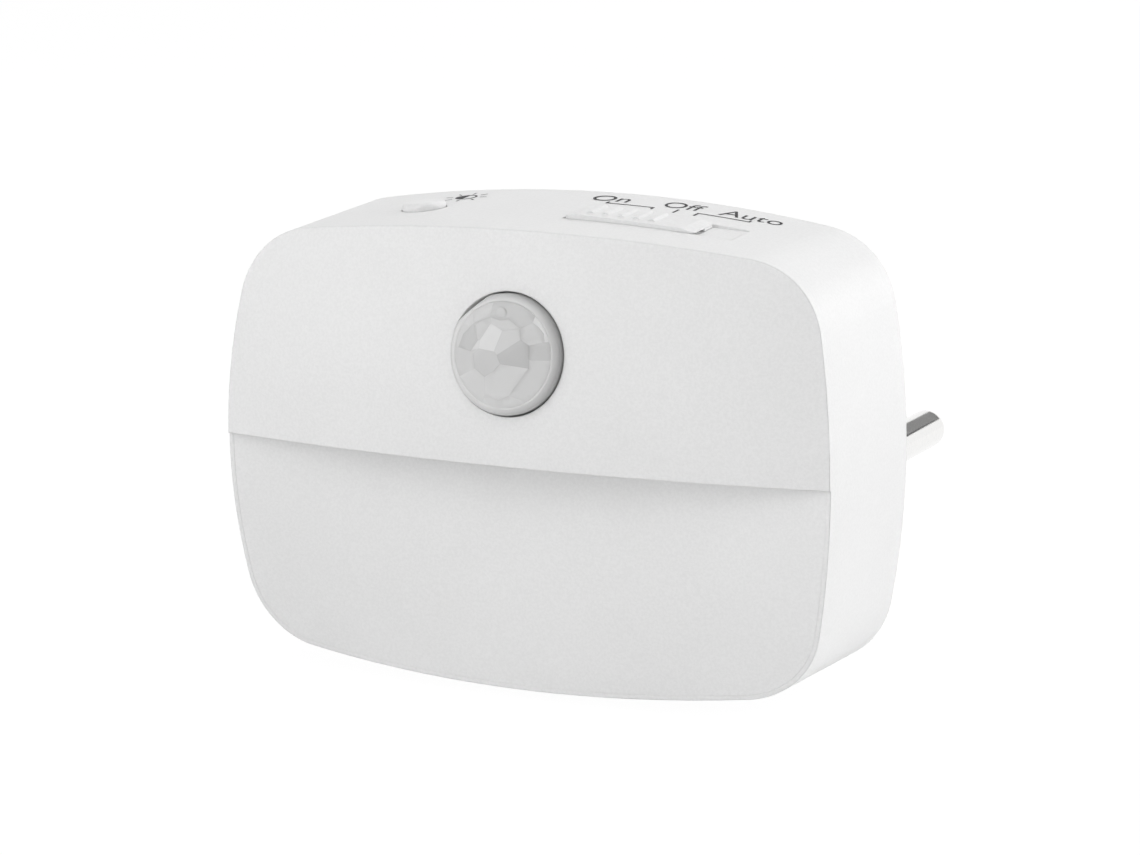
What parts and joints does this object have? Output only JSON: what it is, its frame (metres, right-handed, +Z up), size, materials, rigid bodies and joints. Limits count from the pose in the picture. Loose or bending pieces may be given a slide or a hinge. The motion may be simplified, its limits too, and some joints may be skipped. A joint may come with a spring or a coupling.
{
  "type": "motion sensor light",
  "caption": "White plug-in night light with a sensor dome in its upper face, a lit scooped lower face, a slide switch and a round push button on top, and a round-pin wall plug.",
  "frame": {"origin": "middle of the flat back of the casing", "axes": "+X to the right as seen from the front, +Y into the wall along the plug pins, +Z up"},
  "size_m": [0.0808, 0.0571, 0.059],
  "materials": {
    "casing_white": "fine moulded grain, slightly translucent",
    "control_white": "satin",
    "panel_white": "fine grained light diffuser",
    "lens_milky": "milky, satin, moulded in cells",
    "inner_white": "plain moulded",
    "pin_metal": "nickel plated, polished",
    "screw_steel": "zinc plated",
    "contact_metal": "stamped and bright",
    "board_green": "green solder mask",
    "led_yellow": "phosphor coated",
    "can_metal": "drawn and plated",
    "filter_dark": "dark infrared filter",
    "eye_clear": "clear",
    "switch_black": "moulded",
    "capacitor_red": "dipped coating",
    "sleeve_black": "shrunk sleeve",
    "chip_black": "moulded",
    "resistor_blue": "lacquered"
  },
  "bodies": {
    "casing": {"housing": "casing_white", "rear_cover": "casing_white", "light_panel": "panel_white", "left_pin": "pin_metal", "right_pin": "pin_metal", "pin_clamp": "inner_white", "left_contact": "contact_metal", "right_contact": "contact_metal", "cover_screws": "screw_steel", "board_screws": "screw_steel", "clamp_screws": "screw_steel", "main_board": "board_green", "leds": "led_yellow", "reflector": "inner_white", "pir_lens": "lens_milky", "lens_ring": "inner_white", "pir_sensor": "can_metal", "pir_window": "filter_dark", "light_sensor": "eye_clear", "slide_switch": "switch_black", "push_switch": "switch_black", "dropper_capacitor": "capacitor_red", "bridge_rectifier": "chip_black", "filter_capacitor": "sleeve_black", "controller_chip": "chip_black", "fuse_resistor": "resistor_blue", "bleed_resistor": "resistor_blue"},
    "slider": {"slide_knob": "control_white", "slide_keeper": "inner_white", "switch_lever": "switch_black"},
    "button": {"brightness_button": "control_white", "push_plunger": "switch_black"}
  },
  "joints": [
    {"name": "switch_slide", "type": "slide", "parent": "casing", "child": "slider", "axis": [0.998, 0, -0.0629], "range_m": [0, 0.0044]},
    {"name": "button_press", "type": "slide", "parent": "casing", "child": "button", "axis": [0.0887, 0, -0.9961], "range_m": [0, 0.0005], "stiffness_N_per_m": 600, "springref_m": -0.001}
  ]
}
